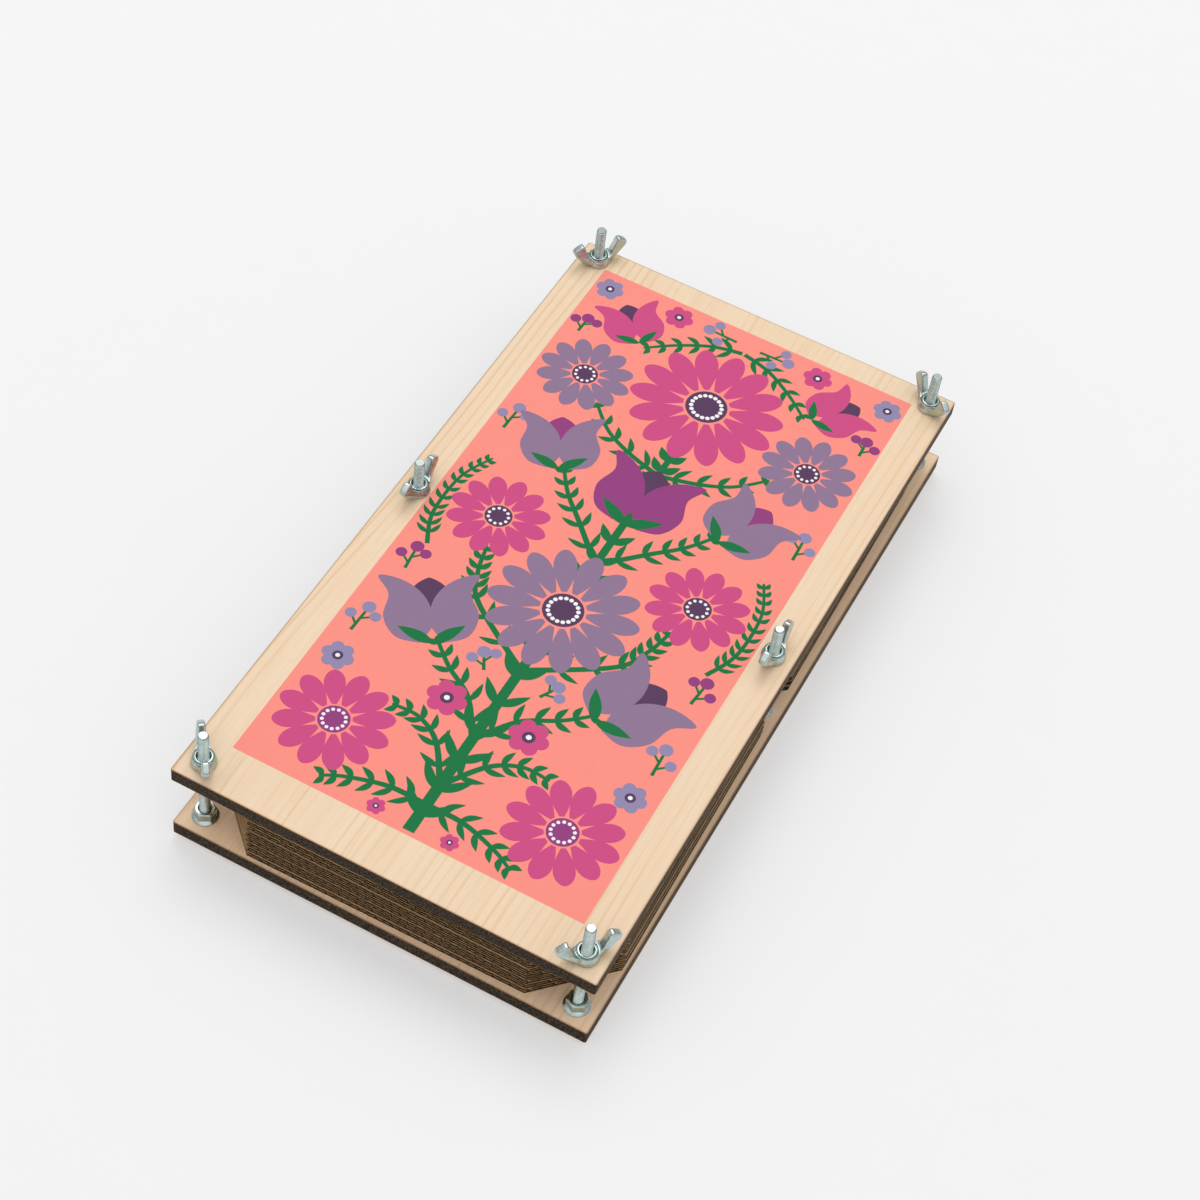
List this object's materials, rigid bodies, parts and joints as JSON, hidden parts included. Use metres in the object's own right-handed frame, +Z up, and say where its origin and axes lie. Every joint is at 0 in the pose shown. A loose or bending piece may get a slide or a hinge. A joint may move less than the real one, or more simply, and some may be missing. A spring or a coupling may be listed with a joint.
{
  "type": "flower press",
  "caption": "Rectangular plywood flower press: corrugated cards and blotting papers clamped between two boards by bolts with wing nuts.",
  "frame": {"origin": "middle of the footprint, level with the undersides of the bolt heads that the press stands on", "axes": "+Z up, through the boards; +Y along the boards' length; +X across them"},
  "size_m": [0.1626, 0.3044, 0.0571],
  "materials": {
    "plywood": "pale sanded plywood, laser-cut edges",
    "print": "matt printed film",
    "card": "kraft corrugated card, single wall",
    "blotting_paper": "soft absorbent paper",
    "zinc_steel": "bright zinc plate"
  },
  "bodies": {
    "base": {"base_board": "plywood", "bolt_front_left": "zinc_steel", "bolt_front_right": "zinc_steel", "bolt_middle_left": "zinc_steel", "bolt_middle_right": "zinc_steel", "bolt_back_left": "zinc_steel", "bolt_back_right": "zinc_steel", "flange_nut_front_left": "zinc_steel", "flange_nut_front_right": "zinc_steel", "flange_nut_middle_left": "zinc_steel", "flange_nut_middle_right": "zinc_steel", "flange_nut_back_left": "zinc_steel", "flange_nut_back_right": "zinc_steel"},
    "top_board": {"top_board": "plywood", "printed_panel": "print"},
    "corrugated_card_1": {"corrugated_card_1": "card"},
    "blotting_paper_1": {"blotting_paper_1": "blotting_paper"},
    "corrugated_card_2": {"corrugated_card_2": "card"},
    "blotting_paper_2": {"blotting_paper_2": "blotting_paper"},
    "corrugated_card_3": {"corrugated_card_3": "card"},
    "blotting_paper_3": {"blotting_paper_3": "blotting_paper"},
    "corrugated_card_4": {"corrugated_card_4": "card"},
    "blotting_paper_4": {"blotting_paper_4": "blotting_paper"},
    "corrugated_card_5": {"corrugated_card_5": "card"},
    "blotting_paper_5": {"blotting_paper_5": "blotting_paper"},
    "corrugated_card_6": {"corrugated_card_6": "card"},
    "blotting_paper_6": {"blotting_paper_6": "blotting_paper"},
    "corrugated_card_7": {"corrugated_card_7": "card"},
    "blotting_paper_7": {"blotting_paper_7": "blotting_paper"},
    "corrugated_card_8": {"corrugated_card_8": "card"},
    "wing_nut_front_left": {"wing_nut_front_left": "zinc_steel"},
    "wing_nut_front_right": {"wing_nut_front_right": "zinc_steel"},
    "wing_nut_middle_left": {"wing_nut_middle_left": "zinc_steel"},
    "wing_nut_middle_right": {"wing_nut_middle_right": "zinc_steel"},
    "wing_nut_back_left": {"wing_nut_back_left": "zinc_steel"},
    "wing_nut_back_right": {"wing_nut_back_right": "zinc_steel"}
  },
  "joints": [
    {"name": "top_board_lift", "type": "slide", "parent": "base", "child": "top_board", "axis": [0, 0, 1], "range_m": [0, 0.0252]},
    {"name": "wing_nut_front_left_turn", "type": "hinge", "parent": "top_board", "child": "wing_nut_front_left", "pos_m": [-0.072, -0.142, 0.03986], "axis": [0, 0, 1], "range_deg": [0, 12962]},
    {"name": "wing_nut_front_right_turn", "type": "hinge", "parent": "top_board", "child": "wing_nut_front_right", "pos_m": [0.072, -0.142, 0.03986], "axis": [0, 0, 1], "range_deg": [0, 12962]},
    {"name": "wing_nut_middle_left_turn", "type": "hinge", "parent": "top_board", "child": "wing_nut_middle_left", "pos_m": [-0.072, 0, 0.03986], "axis": [0, 0, 1], "range_deg": [0, 12962]},
    {"name": "wing_nut_middle_right_turn", "type": "hinge", "parent": "top_board", "child": "wing_nut_middle_right", "pos_m": [0.072, 0, 0.03986], "axis": [0, 0, 1], "range_deg": [0, 12962]},
    {"name": "wing_nut_back_left_turn", "type": "hinge", "parent": "top_board", "child": "wing_nut_back_left", "pos_m": [-0.072, 0.142, 0.03986], "axis": [0, 0, 1], "range_deg": [0, 12962]},
    {"name": "wing_nut_back_right_turn", "type": "hinge", "parent": "top_board", "child": "wing_nut_back_right", "pos_m": [0.072, 0.142, 0.03986], "axis": [0, 0, 1], "range_deg": [0, 12962]},
    {"name": "corrugated_card_1_lift", "type": "slide", "parent": "base", "child": "corrugated_card_1", "axis": [0, 0, 1], "range_m": [0, 0.0016]},
    {"name": "blotting_paper_1_lift", "type": "slide", "parent": "base", "child": "blotting_paper_1", "axis": [0, 0, 1], "range_m": [0, 0.00317]},
    {"name": "corrugated_card_2_lift", "type": "slide", "parent": "base", "child": "corrugated_card_2", "axis": [0, 0, 1], "range_m": [0, 0.00475]},
    {"name": "blotting_paper_2_lift", "type": "slide", "parent": "base", "child": "blotting_paper_2", "axis": [0, 0, 1], "range_m": [0, 0.00632]},
    {"name": "corrugated_card_3_lift", "type": "slide", "parent": "base", "child": "corrugated_card_3", "axis": [0, 0, 1], "range_m": [0, 0.00789]},
    {"name": "blotting_paper_3_lift", "type": "slide", "parent": "base", "child": "blotting_paper_3", "axis": [0, 0, 1], "range_m": [0, 0.00947]},
    {"name": "corrugated_card_4_lift", "type": "slide", "parent": "base", "child": "corrugated_card_4", "axis": [0, 0, 1], "range_m": [0, 0.01104]},
    {"name": "blotting_paper_4_lift", "type": "slide", "parent": "base", "child": "blotting_paper_4", "axis": [0, 0, 1], "range_m": [0, 0.01262]},
    {"name": "corrugated_card_5_lift", "type": "slide", "parent": "base", "child": "corrugated_card_5", "axis": [0, 0, 1], "range_m": [0, 0.01419]},
    {"name": "blotting_paper_5_lift", "type": "slide", "parent": "base", "child": "blotting_paper_5", "axis": [0, 0, 1], "range_m": [0, 0.01577]},
    {"name": "corrugated_card_6_lift", "type": "slide", "parent": "base", "child": "corrugated_card_6", "axis": [0, 0, 1], "range_m": [0, 0.01734]},
    {"name": "blotting_paper_6_lift", "type": "slide", "parent": "base", "child": "blotting_paper_6", "axis": [0, 0, 1], "range_m": [0, 0.01892]},
    {"name": "corrugated_card_7_lift", "type": "slide", "parent": "base", "child": "corrugated_card_7", "axis": [0, 0, 1], "range_m": [0, 0.02049]},
    {"name": "blotting_paper_7_lift", "type": "slide", "parent": "base", "child": "blotting_paper_7", "axis": [0, 0, 1], "range_m": [0, 0.02207]},
    {"name": "corrugated_card_8_lift", "type": "slide", "parent": "base", "child": "corrugated_card_8", "axis": [0, 0, 1], "range_m": [0, 0.02364]}
  ],
  "couplings": [
    {"joint": "wing_nut_front_left_turn", "follows": "top_board_lift", "rad_per_m": 8976},
    {"joint": "wing_nut_front_right_turn", "follows": "top_board_lift", "rad_per_m": 8976},
    {"joint": "wing_nut_middle_left_turn", "follows": "top_board_lift", "rad_per_m": 8976},
    {"joint": "wing_nut_middle_right_turn", "follows": "top_board_lift", "rad_per_m": 8976},
    {"joint": "wing_nut_back_left_turn", "follows": "top_board_lift", "rad_per_m": 8976},
    {"joint": "wing_nut_back_right_turn", "follows": "top_board_lift", "rad_per_m": 8976},
    {"joint": "corrugated_card_1_lift", "follows": "top_board_lift", "ratio": 0.0625},
    {"joint": "blotting_paper_1_lift", "follows": "top_board_lift", "ratio": 0.125},
    {"joint": "corrugated_card_2_lift", "follows": "top_board_lift", "ratio": 0.1875},
    {"joint": "blotting_paper_2_lift", "follows": "top_board_lift", "ratio": 0.25},
    {"joint": "corrugated_card_3_lift", "follows": "top_board_lift", "ratio": 0.3125},
    {"joint": "blotting_paper_3_lift", "follows": "top_board_lift", "ratio": 0.375},
    {"joint": "corrugated_card_4_lift", "follows": "top_board_lift", "ratio": 0.4375},
    {"joint": "blotting_paper_4_lift", "follows": "top_board_lift", "ratio": 0.5},
    {"joint": "corrugated_card_5_lift", "follows": "top_board_lift", "ratio": 0.5625},
    {"joint": "blotting_paper_5_lift", "follows": "top_board_lift", "ratio": 0.625},
    {"joint": "corrugated_card_6_lift", "follows": "top_board_lift", "ratio": 0.6875},
    {"joint": "blotting_paper_6_lift", "follows": "top_board_lift", "ratio": 0.75},
    {"joint": "corrugated_card_7_lift", "follows": "top_board_lift", "ratio": 0.8125},
    {"joint": "blotting_paper_7_lift", "follows": "top_board_lift", "ratio": 0.875},
    {"joint": "corrugated_card_8_lift", "follows": "top_board_lift", "ratio": 0.9375}
  ]
}
